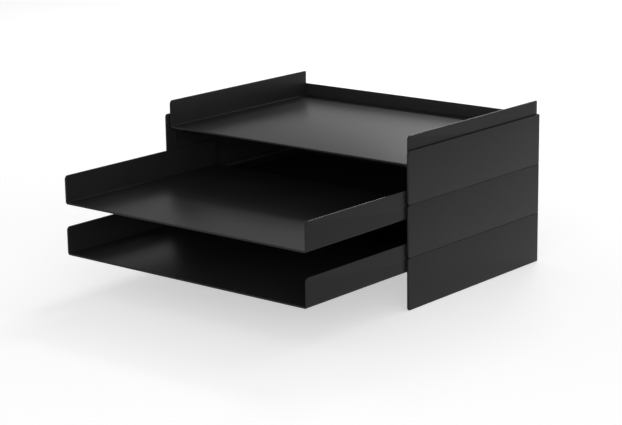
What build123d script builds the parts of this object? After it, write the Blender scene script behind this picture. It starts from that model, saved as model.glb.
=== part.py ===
from build123d import *
import os

# Letter tray stack: three equal tiers of folded sheet steel, one on the other, each with a pull-out
# tray. The lower and middle trays are drawn out to their stops and the top one is in.
# Frame: X across, Y from front to rear, Z up from the desk; the origin is below the middle of the
# whole stack as it stands with its two trays out. Millimetres.

# ---- driving dimensions ----
stack_width = 320.0         # over the outer faces of the side walls
shell_depth = 230.0         # front edge of a side wall to the rear wall's outer face
tier_height = 52.7          # from seam to seam
sheet = 1.8                 # folded steel with its powder coat
bend = 1.0                  # inner radius of every fold
shell_corner = 3.2          # rounding of a side wall's front corners

tray_level = 37.6           # tier's lower edge to the tray's underside
lip_height = 29.4           # tray's underside to the top of its side lips
lip_front_corner = 4.0
lip_rear_corner = 1.0
tray_side_gap = 1.2         # each side, lip to side wall
tray_rear_gap = 0.5         # closed tray to rear wall
tray_recess = 4.5           # closed tray's front edge behind the side walls' front edges
tray_travel = 154.1         # closed to the stop

rail_ledge = 12.0           # width of the ledge that the tray slides on
rail_leg = 14.0             # height of the leg welded to the side wall
rail_recess = 12.0          # rail's front end behind the side wall's front edge
rail_rear_gap = 1.5         # rail's rear end to the rear wall
glide_width = 8.0
glide_height = 1.0
glide_end_margin = 3.0      # rail's end to glide's end
slide_gap = 0.2             # glide to tray

flange_height = 10.6        # how far the tray's rear flange hangs below its underside
flange_side_gap = 0.6       # flange to the ledge's inner edge
ear_reach = 8.2             # how far an ear reaches below the ledge
ear_gap = 0.4               # ear's top edge to the ledge above it
ear_corner = 2.0

shelf_web = 13.0            # part under the ledges, front to rear
shelf_gap = 1.2             # shelf to the tray's flange above it
shelf_flange = 10.0         # shelf's top to the lower edge of its rear flange
shelf_end_gap = 0.3         # shelf's end to the rail's fold
stop_gap = 0.3              # shelf's front flange to the flange of a tray at its stop

plate_width = 46.0
plate_height = 22.0
plate_thickness = 2.0
plate_corner = 2.0
plate_inset = 63.2          # side wall's inner face to a plate's middle

screw_radius = 1.5          # thread's outer radius, all screws
thread_gap = 0.05           # screw to tapped hole
hole_gap = 0.2              # screw to clearance hole
head_radius = 2.85
head_height = 1.65
head_rounding = 0.8
socket_width = 2.0          # across the flats of the hexagonal socket
socket_depth = 0.9
joint_screw_length = 4.0
shelf_screw_length = 3.0
joint_screw_spread = 30.0   # across one plate
joint_screw_rise = 13.0     # from the row below a seam to the row above it

tier_names = ("lower", "middle", "top")
trays_out = ("lower", "middle")

# ---- places that follow from them ----
outer_bend = bend + sheet
overhang = tray_travel - tray_recess
total_depth = overhang + shell_depth + head_height
shell_front = overhang - total_depth / 2
shell_rear = shell_front + shell_depth
rear_inside = shell_rear - sheet
side_inside = stack_width / 2 - sheet

tray_width = 2 * (side_inside - tray_side_gap)
tray_front = shell_front + tray_recess
tray_rear = rear_inside - tray_rear_gap

ledge_top = tray_level - slide_gap - glide_height
ledge_bottom = ledge_top - sheet
ledge_inner = side_inside - rail_ledge
rail_front = shell_front + rail_recess
rail_rear = rear_inside - rail_rear_gap

flange_half_width = ledge_inner - flange_side_gap
ear_end = ledge_inner + ear_reach
stop_face = tray_rear - sheet - tray_travel - stop_gap
shelf_front = stop_face - shelf_web
shelf_top = tray_level - flange_height - shelf_gap
shelf_end = side_inside - outer_bend - shelf_end_gap
shelf_screw_x = (ledge_inner + shelf_end) / 2
shelf_screw_y = (shelf_front + stop_face - sheet) / 2
plate_offset = side_inside - plate_inset


def box(left, right, front, rear, bottom, top):
    middle = Pos((left + right) / 2, (front + rear) / 2, (bottom + top) / 2)
    return middle * Box(right - left, rear - front, top - bottom)


def flat(left, right, bottom, top):
    return Pos((left + right) / 2, (bottom + top) / 2) * Rectangle(right - left, top - bottom)


def along_x(section, left, right):
    """Carry a section, drawn as (Y, Z), from left to right."""
    return Pos(left, 0, 0) * extrude(Plane.YZ * section, amount=right - left)


def along_y(section, front, rear):
    """Carry a section, drawn as (X, Z), from front to rear."""
    return Pos(0, rear, 0) * extrude(Plane.XZ * section, amount=rear - front)


def hole_along_y(radius, x, z, front, rear):
    return along_y(Pos(x, z) * Circle(radius), front, rear)


def angle(width, height):
    """Section of a right-angled fold: a ledge to the right of its corner and a leg below it."""
    outside = flat(0, width, -height, 0)
    outside = fillet(outside.vertices().group_by(Axis.Y)[-1].sort_by(Axis.X)[0], outer_bend)
    inside = flat(sheet, width, -height, -sheet)
    inside = fillet(inside.vertices().group_by(Axis.Y)[-1].sort_by(Axis.X)[0], bend)
    return outside - inside


def folded(points):
    """Section of a sheet folded along the line, drawn in the middle of its thickness."""
    return trace(FilletPolyline(*points, radius=bend + sheet / 2), sheet)


def screw(length):
    """Button-head screw: the head stands on Z = 0 and the shank goes down."""
    head = Cylinder(head_radius, head_height, align=(Align.CENTER, Align.CENTER, Align.MIN))
    head = fillet(head.edges().group_by(Axis.Z)[-1], head_rounding)
    shank = Cylinder(screw_radius, length, align=(Align.CENTER, Align.CENTER, Align.MAX))
    socket = RegularPolygon(socket_width / 2, 6, major_radius=False)
    socket = Pos(0, 0, head_height - socket_depth) * extrude(socket, amount=socket_depth)
    return head + shank - socket


def joint_screw_places():
    """Each joint screw's (X, Z), with the number of the tier that its shank passes through."""
    places = []
    for seam in range(1, len(tier_names)):
        for side in (-1, 1):
            for across in (-1, 1):
                for above in (-1, 1):
                    x = side * plate_offset + across * joint_screw_spread / 2
                    z = seam * tier_height + above * joint_screw_rise / 2
                    places.append((x, z, seam - 1 if above < 0 else seam))
    return places


def tier_shell(tier):
    """Side, rear and side walls in one sheet."""
    bottom = tier * tier_height
    outside = flat(-stack_width / 2, stack_width / 2, shell_front, shell_rear)
    outside = fillet(outside.vertices().group_by(Axis.Y)[-1], outer_bend)
    inside = flat(-side_inside, side_inside, shell_front, rear_inside)
    inside = fillet(inside.vertices().group_by(Axis.Y)[-1], bend)
    shell = Pos(0, 0, bottom) * extrude(outside - inside, amount=tier_height)
    front_edges = shell.edges().filter_by(Axis.X).group_by(Axis.Y)[0]
    shell = fillet(front_edges, shell_corner)
    for x, z, screw_tier in joint_screw_places():
        if screw_tier == tier:
            shell -= hole_along_y(screw_radius + hole_gap, x, z, rear_inside, shell_rear)
    return shell


def left_rail(tier):
    top = tier * tier_height + ledge_top
    rail = along_y(angle(rail_ledge, rail_leg), rail_front, rail_rear)
    hole = Cylinder(screw_radius + thread_gap, 4 * sheet)
    return Pos(-side_inside, 0, top) * rail - Pos(-shelf_screw_x, shelf_screw_y, top) * hole


def left_glide(tier):
    """Strip along the middle of the ledge's flat part, with room for the shelf's screw."""
    middle = -(ledge_inner + side_inside - outer_bend) / 2
    bottom = tier * tier_height + ledge_top
    left = middle - glide_width / 2
    right = middle + glide_width / 2
    front = rail_front + glide_end_margin
    rear = rail_rear - glide_end_margin
    strip = box(left, right, front, rear, bottom, bottom + glide_height)
    hole = Cylinder(screw_radius + 2 * hole_gap, 4 * glide_height)
    return strip - Pos(-shelf_screw_x, shelf_screw_y, bottom) * hole


def stop_shelf(tier):
    """Sheet that closes the tier behind a drawn-out tray; its front flange is the tray's stop.

    It is screwed to the ledges from below and its rear flange sits on the rear wall.
    """
    high = ledge_bottom - sheet / 2
    low = shelf_top - sheet / 2
    stop = stop_face - sheet / 2
    wall = rear_inside - sheet / 2
    line = [(shelf_front, high), (stop, high), (stop, low), (wall, low), (wall, shelf_top - shelf_flange)]
    shelf = along_x(folded(line), -shelf_end, shelf_end)
    hole = Cylinder(screw_radius + hole_gap, 4 * sheet)
    for side in (-1, 1):
        shelf -= Pos(side * shelf_screw_x, shelf_screw_y, high) * hole
    return Pos(0, 0, tier * tier_height) * shelf


def tray(tier, shift):
    """Base and side lips, with the rear edge folded down to a flange that has two ears."""
    outside = flat(-tray_width / 2, tray_width / 2, 0, lip_height)
    outside = fillet(outside.vertices().group_by(Axis.Y)[0], outer_bend)
    inside = flat(-tray_width / 2 + sheet, tray_width / 2 - sheet, sheet, lip_height)
    inside = fillet(inside.vertices().group_by(Axis.Y)[0], bend)
    body = along_y(outside - inside, tray_front, tray_rear)
    lip_tops = body.edges().filter_by(Axis.X).group_by(Axis.Z)[-1]
    body = fillet(lip_tops.group_by(Axis.Y)[0], lip_front_corner)
    lip_tops = body.edges().filter_by(Axis.X).group_by(Axis.Z)[-1]
    body = fillet(lip_tops.group_by(Axis.Y)[-1], lip_rear_corner)

    fold_depth = 2 * outer_bend
    fold = Pos(tray_rear, sheet) * mirror(angle(fold_depth, flange_height + sheet), Plane.YZ)
    body -= box(-flange_half_width, flange_half_width, tray_rear - fold_depth, tray_rear, 0, sheet)
    body += along_x(fold, -flange_half_width, flange_half_width)
    ear_top = ledge_bottom - ear_gap - tray_level
    ears = flat(-ear_end, ear_end, -flange_height, ear_top)
    ears = fillet(ears.vertices(), ear_corner)
    body += along_y(ears, tray_rear - sheet, tray_rear)
    return Pos(0, shift, tier * tier_height + tray_level) * body


def joint_plate(seam, side):
    plate = flat(-plate_width / 2, plate_width / 2, -plate_height / 2, plate_height / 2)
    plate = fillet(plate.vertices(), plate_corner)
    plate = Pos(side * plate_offset, seam * tier_height) * plate
    for x, z, screw_tier in joint_screw_places():
        plate -= Pos(x, z) * Circle(screw_radius + thread_gap)
    return along_y(plate, rear_inside - plate_thickness, rear_inside)


def joint_screws():
    screws = []
    for x, z, screw_tier in joint_screw_places():
        screws.append(Pos(x, shell_rear, z) * Rot(-90, 0, 0) * screw(joint_screw_length))
    return screws


def shelf_screws():
    screws = []
    for tier in range(len(tier_names)):
        under_web = tier * tier_height + ledge_bottom - sheet
        for side in (-1, 1):
            place = Pos(side * shelf_screw_x, shelf_screw_y, under_web)
            screws.append(place * Rot(180, 0, 0) * screw(shelf_screw_length))
    return screws


nodes = {}
for tier, name in enumerate(tier_names):
    nodes[name + "_tier_shell"] = tier_shell(tier)
    nodes[name + "_left_rail"] = left_rail(tier)
    nodes[name + "_right_rail"] = mirror(left_rail(tier), Plane.YZ)
    nodes[name + "_left_glide"] = left_glide(tier)
    nodes[name + "_right_glide"] = mirror(left_glide(tier), Plane.YZ)
    nodes[name + "_stop_shelf"] = stop_shelf(tier)
    nodes[name + "_tray"] = tray(tier, -tray_travel if name in trays_out else 0)
for seam, level in ((1, "lower"), (2, "upper")):
    nodes[level + "_left_joint_plate"] = joint_plate(seam, -1)
    nodes[level + "_right_joint_plate"] = joint_plate(seam, 1)
nodes["joint_screws"] = Compound(children=joint_screws())
nodes["shelf_screws"] = Compound(children=shelf_screws())

os.makedirs("parts", exist_ok=True)
for name, shape in nodes.items():
    export_step(shape, "parts/" + name + ".step")
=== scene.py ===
import math
import bpy
import bmesh
from mathutils import Matrix, Vector


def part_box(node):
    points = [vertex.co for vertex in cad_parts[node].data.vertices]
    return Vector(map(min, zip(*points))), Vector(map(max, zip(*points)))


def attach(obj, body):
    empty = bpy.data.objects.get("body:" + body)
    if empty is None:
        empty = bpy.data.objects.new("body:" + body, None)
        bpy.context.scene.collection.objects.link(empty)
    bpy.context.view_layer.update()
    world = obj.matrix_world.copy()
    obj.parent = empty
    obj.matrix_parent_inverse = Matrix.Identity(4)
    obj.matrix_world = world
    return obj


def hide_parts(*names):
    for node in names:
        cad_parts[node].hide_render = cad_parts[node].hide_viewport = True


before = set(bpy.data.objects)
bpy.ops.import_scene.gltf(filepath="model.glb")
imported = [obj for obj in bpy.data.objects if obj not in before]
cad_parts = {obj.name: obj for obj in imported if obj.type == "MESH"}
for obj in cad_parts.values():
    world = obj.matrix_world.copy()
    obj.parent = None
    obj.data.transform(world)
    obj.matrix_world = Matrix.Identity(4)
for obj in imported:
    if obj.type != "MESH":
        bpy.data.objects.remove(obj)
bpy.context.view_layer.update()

MM = 0.001
TOLERANCE = 0.001 * MM                  # two places nearer than this are the same

# ---- sizes of the folded sheets, in metres; everything else is read from the frame ----
SHEET = 1.8 * MM
BEND = 1.0 * MM                         # inside radius of a fold
OUTER_BEND = BEND + SHEET
SHELL_CORNER = 3.2 * MM
LIP_HEIGHT = 29.4 * MM                  # tray's underside to the top of its side lips
LIP_FRONT_CORNER = 4.0 * MM
LIP_REAR_CORNER = 1.0 * MM
EAR_HEIGHT = 7.2 * MM
EAR_REACH = 8.2 * MM                    # past the inner edge of the rail's ledge
EAR_CORNER = 2.0 * MM
LEDGE_TO_FLANGE = 0.6 * MM
FOLD_CUT = 1.0 * MM                     # width of the cut in the bed at each end of the flange's fold
EDGE_ROUNDING = 0.3 * MM
SHELL_ROUNDING = 0.55 * MM              # deeper, so that a shadow line shows between two stacked shells
FOLD_STEPS = 10
CORNER_STEPS = 8
EDGE_STEPS = 3
CUT_EDGE_ANGLE = math.radians(50.0)     # sharper edges than this are cut edges, and are softened
SMOOTH_ANGLE = math.radians(40.0)

TIERS = ("lower", "middle", "top")

# ---- finishes: how fine a pattern is, in spots to the metre ----
PEBBLES = 900.0
RIPPLES = 130.0
CLOUDS = 14.0
DRAWN_LINES = 1800.0
STEEL_GRAIN = 1500.0
LINE_STRETCH = 0.02                     # along the strips, so that spots become lines
FINE_DETAIL = 2.0
FULL_DETAIL = 3.0
MASK_LOW = 0.3                          # a pattern's values run mostly between these two
MASK_HIGH = 0.7

# ---- powder coat: what each pattern does to it ----
SHADE_SPREAD = 0.14                     # share by which the colour gets darker and lighter
CLOUDS_IN_COLOUR = 0.7
PEBBLES_IN_COLOUR = 0.3
CLOUDS_IN_GLOSS = 0.05
PEBBLES_IN_GLOSS = 0.03
GLOSS_SHIFT = 0.04                      # keeps the mean roughness at the value that is given
PEBBLES_IN_SKIN = 0.6
RIPPLES_IN_SKIN = 0.4

# ---- floor and sweep; a strength of 1 is white ----
FLOOR_SIZE = 12.0
FLOOR_DROP = 0.4 * MM                   # below the shells' lower edges
FLOOR_LEVEL = 0.66
FLOOR_LIFT = 0.52                       # shows to the camera and in gloss, but lights nothing
SWEEP_STRENGTH = 0.88
ROOM_STRENGTH = 0.36
SWEEP_END = 0.30                        # sine of the height over the horizon, about 17 degrees
ROOM_START = 0.50                       # 30 degrees

# ---- camera ----
CAMERA_PLACE = Vector((1.22646, -1.46648, 0.54511))
CAMERA_TURN = math.radians(39.80)       # to the left of straight ahead
CAMERA_TILT = math.radians(-14.05)
CAMERA_ROLL = math.radians(-0.81)
LEVEL = math.radians(90.0)              # an unturned camera looks straight down
LENS = 110.70
SENSOR_WIDTH = 36.0
NEAREST = 0.05
FARTHEST = 50.0


def make_camera():
    data = bpy.data.cameras.new("camera")
    data.lens = LENS
    data.sensor_width = SENSOR_WIDTH
    data.sensor_fit = "HORIZONTAL"
    data.clip_start = NEAREST
    data.clip_end = FARTHEST
    camera = bpy.data.objects.new("camera", data)
    bpy.context.scene.collection.objects.link(camera)
    turn = Matrix.Rotation(CAMERA_TURN, 4, "Z")
    tilt = Matrix.Rotation(LEVEL + CAMERA_TILT, 4, "X")
    roll = Matrix.Rotation(CAMERA_ROLL, 4, "Z")
    camera.matrix_world = Matrix.Translation(CAMERA_PLACE) @ turn @ tilt @ roll
    bpy.context.scene.camera = camera


# ---- shader maths ----
class Value:
    """A shader socket that takes part in Python expressions."""

    def __init__(self, nodes, socket):
        self.nodes = nodes
        self.socket = socket

    def _math(self, operation, first, second):
        return self.nodes.add("ShaderNodeMath", {"operation": operation}, {0: first, 1: second})

    def __add__(self, other):
        return self._math("ADD", self, other)

    def __radd__(self, other):
        return self._math("ADD", other, self)

    def __mul__(self, other):
        return self._math("MULTIPLY", self, other)

    def __rmul__(self, other):
        return self._math("MULTIPLY", other, self)


class Finish:
    """The node tree of a material or of the world, with one way to add a node."""

    def __init__(self, owner, output_kind="ShaderNodeOutputMaterial"):
        self.owner = owner
        owner.use_nodes = True
        self.tree = owner.node_tree
        self.tree.nodes.clear()
        self.output = self.tree.nodes.new(output_kind)

    def add(self, kind, settings=None, inputs=None, output=0):
        node = self.tree.nodes.new(kind)
        for key, setting in (settings or {}).items():
            if key == "stops":
                for stop, (place, colour) in zip(node.color_ramp.elements, setting):
                    stop.position = place
                    stop.color = colour
            else:
                setattr(node, key, setting)
        for key, given in (inputs or {}).items():
            if isinstance(given, Value):
                self.tree.links.new(given.socket, node.inputs[key])
            else:
                node.inputs[key].default_value = given
        return Value(self, node.outputs[output])

    def finish(self, shader):
        self.tree.links.new(shader.socket, self.output.inputs["Surface"])
        return self.owner


def grey(level):
    return (level, level, level, 1.0)


def new_finish(name):
    return Finish(bpy.data.materials.new(name))


def noise(finish, place, scale, detail=FULL_DETAIL, roughness=0.5):
    return finish.add("ShaderNodeTexNoise", {"noise_dimensions": "3D"}, {
        "Vector": place,
        "Scale": scale,
        "Detail": detail,
        "Roughness": roughness,
    })


def greys(finish, dark, light, mask):
    """Grey that goes from dark to light with the mask."""
    stops = ((MASK_LOW, grey(dark)), (MASK_HIGH, grey(light)))
    return finish.add("ShaderNodeValToRGB", {"stops": stops}, {"Fac": mask})


def skin(finish, height, strength, depth):
    return finish.add("ShaderNodeBump", None, {"Strength": strength, "Distance": depth, "Height": height})


def powder_coat(name, level, roughness, specular):
    """Satin powder coat: a fine pebbled skin with faint cloudy changes of gloss."""
    f = new_finish(name)
    place = f.add("ShaderNodeTexCoord", output="Object")
    pebbles = noise(f, place, PEBBLES, FINE_DETAIL)
    ripples = noise(f, place, RIPPLES, roughness=0.55)
    clouds = noise(f, place, CLOUDS)
    dark = level * (1.0 - SHADE_SPREAD)
    light = level * (1.0 + SHADE_SPREAD)
    shade = CLOUDS_IN_COLOUR * clouds + PEBBLES_IN_COLOUR * pebbles
    gloss = CLOUDS_IN_GLOSS * clouds + PEBBLES_IN_GLOSS * pebbles
    height = PEBBLES_IN_SKIN * pebbles + RIPPLES_IN_SKIN * ripples
    return f.finish(f.add("ShaderNodeBsdfPrincipled", None, {
        "Base Color": greys(f, dark, light, shade),
        "Roughness": roughness - GLOSS_SHIFT + gloss,
        "Specular IOR Level": specular,
        "Normal": skin(f, height, strength=0.12, depth=0.2 * MM),
    }))


def strip_plastic(name):
    """Dull black plastic strip with fine lengthwise drawing lines."""
    f = new_finish(name)
    place = f.add("ShaderNodeTexCoord", output="Object")
    lengthwise = f.add("ShaderNodeMapping", None, {"Vector": place, "Scale": (1.0, LINE_STRETCH, 1.0)})
    lines = noise(f, lengthwise, DRAWN_LINES, FINE_DETAIL)
    return f.finish(f.add("ShaderNodeBsdfPrincipled", None, {
        "Base Color": greys(f, 0.022, 0.034, lines),
        "Roughness": 0.48 + 0.12 * lines,
        "Normal": skin(f, lines, strength=0.15, depth=0.1 * MM),
    }))


def blackened_steel(name):
    """Black-oxide screw steel, slightly uneven."""
    f = new_finish(name)
    place = f.add("ShaderNodeTexCoord", output="Object")
    grain = noise(f, place, STEEL_GRAIN)
    return f.finish(f.add("ShaderNodeBsdfPrincipled", None, {
        "Base Color": greys(f, 0.035, 0.075, grain),
        "Metallic": 0.85,
        "Roughness": 0.3 + 0.15 * grain,
        "Normal": skin(f, grain, strength=0.1, depth=0.05 * MM),
    }))


# ---- modelling helpers ----
def deselect():
    bpy.ops.object.select_all(action="DESELECT")


def edit_all():
    bpy.ops.object.mode_set(mode="EDIT")
    bpy.ops.mesh.select_all(action="SELECT")


def leave_edit():
    bpy.ops.object.mode_set(mode="OBJECT")


def add_sheet(name, low, high, upright=False):
    """A flat sheet from corner to corner, level or upright, its face to the outside: down or to the rear."""
    deselect()
    centre = (Vector(low) + Vector(high)) / 2
    turn = math.radians(90.0) if upright else 0.0
    bpy.ops.mesh.primitive_plane_add(size=1.0, location=centre, rotation=(turn, 0.0, 0.0))
    piece = bpy.context.object
    piece.name = name
    piece.data.name = name
    extent = Vector(high) - Vector(low)
    piece.scale = (extent.x, extent.z if upright else extent.y, 1.0)
    bpy.ops.object.transform_apply(location=True, rotation=True, scale=True)
    edit_all()
    bpy.ops.mesh.flip_normals()
    leave_edit()
    return piece


def near(one, other):
    return abs(one - other) < TOLERANCE


def select(piece, kind, wanted):
    """In edit mode, select the vertices at wanted places, or the edges with both ends there."""
    bpy.ops.object.mode_set(mode="EDIT")
    bpy.ops.mesh.select_mode(type=kind)
    bpy.ops.mesh.select_all(action="DESELECT")
    mesh = bmesh.from_edit_mesh(piece.data)
    if kind == "EDGE":
        chosen = [edge for edge in mesh.edges if all(wanted(vertex.co) for vertex in edge.verts)]
    else:
        chosen = [vertex for vertex in mesh.verts if wanted(vertex.co)]
    for item in chosen:
        item.select_set(True)
    mesh.select_flush_mode()
    bmesh.update_edit_mesh(piece.data)


def extrude(piece, wanted, step):
    select(piece, "EDGE", wanted)
    bpy.ops.mesh.extrude_edges_move(TRANSFORM_OT_translate={"value": step})
    leave_edit()


def cut_across(piece, x):
    edit_all()
    bpy.ops.mesh.bisect(plane_co=(x, 0.0, 0.0), plane_no=(1.0, 0.0, 0.0))
    leave_edit()


def round_off(piece, kind, wanted, radius, steps):
    select(piece, kind, wanted)
    affect = "EDGES" if kind == "EDGE" else "VERTICES"
    bpy.ops.mesh.bevel(offset=radius, offset_type="OFFSET", segments=steps, profile=0.5,
                       affect=affect, clamp_overlap=False)
    leave_edit()


def round_folds(piece, wanted, radius):
    round_off(piece, "EDGE", wanted, radius, FOLD_STEPS)


def round_corners(piece, wanted, radius):
    round_off(piece, "VERT", wanted, radius, CORNER_STEPS)


def apply_modifier(piece, kind, **settings):
    modifier = piece.modifiers.new(kind.lower(), kind)
    for key, setting in settings.items():
        setattr(modifier, key, setting)
    bpy.context.view_layer.objects.active = piece
    bpy.ops.object.modifier_apply(modifier=modifier.name)


def thicken(piece, rounding):
    """Give the sheet its thickness on the inner side of its folds, and soften its cut edges."""
    apply_modifier(piece, "SOLIDIFY", thickness=SHEET, offset=-1.0, use_even_offset=True,
                   use_quality_normals=True)
    apply_modifier(piece, "BEVEL", width=rounding, segments=EDGE_STEPS, limit_method="ANGLE",
                   angle_limit=CUT_EDGE_ANGLE, use_clamp_overlap=False, harden_normals=False)
    deselect()
    piece.select_set(True)
    bpy.ops.object.shade_smooth_by_angle(angle=SMOOTH_ANGLE)


def dress(piece, material, body, node):
    piece.data.materials.clear()
    piece.data.materials.append(material)
    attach(piece, body)
    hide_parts(node)


# ---- the folded sheets ----
def make_shell(tier):
    """One sheet folded to a U seen from above, with rounded front corners."""
    node = tier + "_tier_shell"
    low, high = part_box(node)
    rear = high.y
    sides = (low.x, high.x)
    piece = add_sheet(tier + "_shell_sheet", (low.x, rear, low.z), (high.x, rear, high.z), upright=True)
    for side in sides:
        extrude(piece, lambda p: near(p.x, side), (0.0, low.y - rear, 0.0))
    for side in sides:
        round_folds(piece, lambda p: near(p.x, side) and near(p.y, rear), OUTER_BEND)
    round_corners(piece, lambda p: near(p.y, low.y), SHELL_CORNER)
    thicken(piece, SHELL_ROUNDING)
    return piece, node


def make_tray(tier):
    """One sheet with two side lips, its rear edge folded down to a flange with two ears."""
    node = tier + "_tray"
    low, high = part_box(node)
    ledge_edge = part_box(tier + "_left_rail")[1].x
    sides = (low.x, high.x)
    rear = high.y
    bottom = high.z - LIP_HEIGHT
    fold_start = rear - 2 * OUTER_BEND
    flange = rear - SHEET
    flange_end = -ledge_edge - LEDGE_TO_FLANGE
    cut_end = flange_end + FOLD_CUT
    ear_end = -ledge_edge + EAR_REACH
    ear_top = low.z + EAR_HEIGHT

    piece = add_sheet(tier + "_tray_sheet", (low.x, low.y, bottom), (high.x, fold_start, bottom))
    for x in (-cut_end, -flange_end, flange_end, cut_end):
        cut_across(piece, x)
    extrude(piece, lambda p: near(p.y, fold_start) and abs(p.x) > cut_end - TOLERANCE,
            (0.0, rear - fold_start, 0.0))
    extrude(piece, lambda p: near(p.y, fold_start) and abs(p.x) < flange_end + TOLERANCE,
            (0.0, flange - fold_start, 0.0))
    extrude(piece, lambda p: near(p.y, flange), (0.0, 0.0, ear_top - bottom))
    extrude(piece, lambda p: near(p.z, ear_top), (0.0, 0.0, low.z - ear_top))
    for way in (-1, 1):
        extrude(piece, lambda p: near(p.x, way * flange_end) and p.z < ear_top + TOLERANCE,
                (way * (ear_end - flange_end), 0.0, 0.0))
    for side in sides:
        extrude(piece, lambda p: near(p.x, side), (0.0, 0.0, LIP_HEIGHT))

    for side in sides:
        round_folds(piece, lambda p: near(p.x, side) and near(p.z, bottom), OUTER_BEND)
    round_folds(piece, lambda p: near(p.y, flange) and near(p.z, bottom), BEND)
    round_corners(piece, lambda p: near(p.z, high.z) and near(p.y, low.y), LIP_FRONT_CORNER)
    round_corners(piece, lambda p: near(p.z, high.z) and near(p.y, rear), LIP_REAR_CORNER)
    round_corners(piece, lambda p: near(abs(p.x), ear_end), EAR_CORNER)
    thicken(piece, EDGE_ROUNDING)
    return piece, node


# ---- surroundings ----
def make_floor():
    """Pale floor, lifted to white where it is open; the stack's soft shadow stays on it."""
    deselect()
    bpy.ops.mesh.primitive_plane_add(size=FLOOR_SIZE, location=(0.0, 0.0, -FLOOR_DROP))
    floor = bpy.context.object
    floor.name = "floor"
    f = new_finish("pale_floor")
    camera_ray = f.add("ShaderNodeLightPath", output="Is Camera Ray")
    glossy_ray = f.add("ShaderNodeLightPath", output="Is Glossy Ray")
    transmission_ray = f.add("ShaderNodeLightPath", output="Is Transmission Ray")
    seen = camera_ray + glossy_ray + transmission_ray
    paper = f.add("ShaderNodeBsdfDiffuse", None, {"Color": grey(FLOOR_LEVEL)})
    lift = f.add("ShaderNodeEmission", None, {"Color": grey(1.0), "Strength": FLOOR_LIFT})
    lifted = f.add("ShaderNodeAddShader", None, {0: paper, 1: lift})
    mixed = f.add("ShaderNodeMixShader", None, {0: seen, 1: paper, 2: lifted})
    floor.data.materials.append(f.finish(mixed))


def make_world():
    """White sweep from the horizon up, fading to a dimmer room."""
    world = bpy.data.worlds.new("studio")
    bpy.context.scene.world = world
    f = Finish(world, "ShaderNodeOutputWorld")
    direction = f.add("ShaderNodeTexCoord", output="Generated")
    height = f.add("ShaderNodeSeparateXYZ", None, {0: direction}, output="Z")
    strength = f.add("ShaderNodeMapRange", {"interpolation_type": "SMOOTHSTEP"}, {
        "Value": height,
        "From Min": SWEEP_END,
        "From Max": ROOM_START,
        "To Min": SWEEP_STRENGTH,
        "To Max": ROOM_STRENGTH,
    })
    f.finish(f.add("ShaderNodeBackground", None, {"Color": grey(1.0), "Strength": strength}))


def add_softbox(name, place, aim_height, width, height, power):
    """A rectangular lamp aimed at the middle of the stack, at the height that is given."""
    data = bpy.data.lights.new(name, "AREA")
    data.shape = "RECTANGLE"
    data.size = width
    data.size_y = height
    data.energy = power
    light = bpy.data.objects.new(name, data)
    bpy.context.scene.collection.objects.link(light)
    light.location = place
    aim = Vector((0.0, 0.0, aim_height)) - Vector(place)
    light.rotation_euler = aim.to_track_quat("-Z", "Y").to_euler()


make_camera()

coat = powder_coat("satin_black_coat", level=0.0155, roughness=0.33, specular=0.13)
# the same coat made darker and rougher for the parts inside the stack: painted shade, not a different paint
painted_shade_coat = powder_coat("satin_black_coat_painted_shade", level=0.014, roughness=0.38, specular=0.125)
glide_plastic = strip_plastic("glide_strip_plastic")
screw_steel = blackened_steel("black_oxide_steel")

for tier in TIERS:
    shell, node = make_shell(tier)
    dress(shell, coat, "frame", node)
    tray, node = make_tray(tier)
    dress(tray, coat, tier + "_tray_body", node)

for name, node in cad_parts.items():
    if node.hide_render:
        continue
    if "glide" in name:
        material = glide_plastic
    elif "screws" in name:
        material = screw_steel
    else:
        # parts inside the stack get the coat with painted shade
        material = painted_shade_coat
    for slot in node.material_slots:
        slot.material = material

make_floor()
make_world()
# draws the fine bright line on the right lips' upper edges
add_softbox("rear_top", place=(-0.85, 1.85, 1.45), aim_height=0.1, width=0.75, height=0.25, power=12.5)
# draws the thin light line along the left lips' folds
add_softbox("rear_high", place=(0.0, 1.95, 2.0), aim_height=0.1, width=1.6, height=1.0, power=9.5)
add_softbox("front", place=(1.4, -1.85, 0.75), aim_height=0.08, width=2.4, height=1.2, power=21.0)

view = bpy.context.scene.view_settings
view.view_transform = "Standard"
